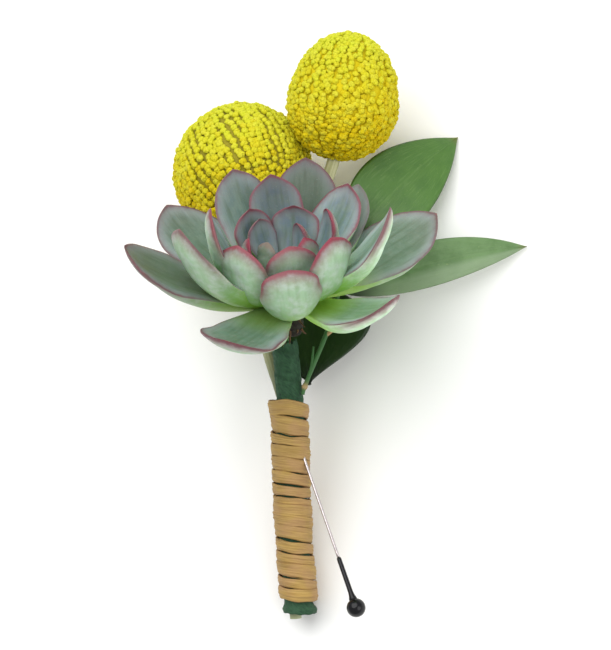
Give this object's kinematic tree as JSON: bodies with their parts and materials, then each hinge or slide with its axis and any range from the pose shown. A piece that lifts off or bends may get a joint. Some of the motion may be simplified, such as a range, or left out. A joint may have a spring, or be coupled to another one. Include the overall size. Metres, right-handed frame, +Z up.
{
  "type": "boutonniere",
  "caption": "Boutonniere of a red-edged succulent rosette, yellow craspedia heads and green leaves on a raffia-wrapped stem with a black-headed pin.",
  "frame": {"origin": "under the middle of the bounding box, on the surface the boutonniere lies on", "axes": "+Y along the stem towards the flower heads, +Z up from the surface it lies on, +X to the side the pin is on"},
  "size_m": [0.0858, 0.1408, 0.0715],
  "materials": {
    "succulent": "waxy, blue-green with red margins",
    "succulent_core": "matte, dry at its foot",
    "craspedia": "granular, matte yellow florets",
    "craspedia_stem": "pale green, faintly downy",
    "ruscus": "leathery green, parallel veins",
    "twig": "smooth light green",
    "floral_tape": "dark green crepe",
    "raffia": "dry straw-coloured fibre",
    "steel": "bright",
    "black_plastic": "gloss",
    "wire": "green enamel"
  },
  "bodies": {
    "root": {"succulent_leaf_01": "succulent", "succulent_leaf_02": "succulent", "succulent_leaf_03": "succulent", "succulent_leaf_04": "succulent", "succulent_leaf_05": "succulent", "succulent_leaf_06": "succulent", "succulent_leaf_07": "succulent", "succulent_leaf_08": "succulent", "succulent_leaf_09": "succulent", "succulent_leaf_10": "succulent", "succulent_leaf_11": "succulent", "succulent_leaf_12": "succulent", "succulent_leaf_13": "succulent", "succulent_leaf_14": "succulent", "succulent_leaf_15": "succulent", "succulent_leaf_16": "succulent", "succulent_leaf_17": "succulent", "succulent_leaf_18": "succulent", "succulent_leaf_19": "succulent", "succulent_leaf_20": "succulent", "succulent_leaf_21": "succulent", "succulent_leaf_22": "succulent", "succulent_leaf_23": "succulent", "succulent_leaf_24": "succulent", "succulent_leaf_25": "succulent", "succulent_core": "succulent_core", "succulent_wire": "wire", "craspedia_head_left": "craspedia", "craspedia_head_right": "craspedia", "craspedia_stem_left": "craspedia_stem", "craspedia_stem_right": "craspedia_stem", "ruscus_leaf_upper": "ruscus", "ruscus_leaf_long": "ruscus", "ruscus_leaf_lower": "ruscus", "ruscus_twig": "twig", "floral_tape": "floral_tape", "raffia_wrap": "raffia", "pin_shank": "steel", "pin_head": "black_plastic"}
  },
  "joints": []
}
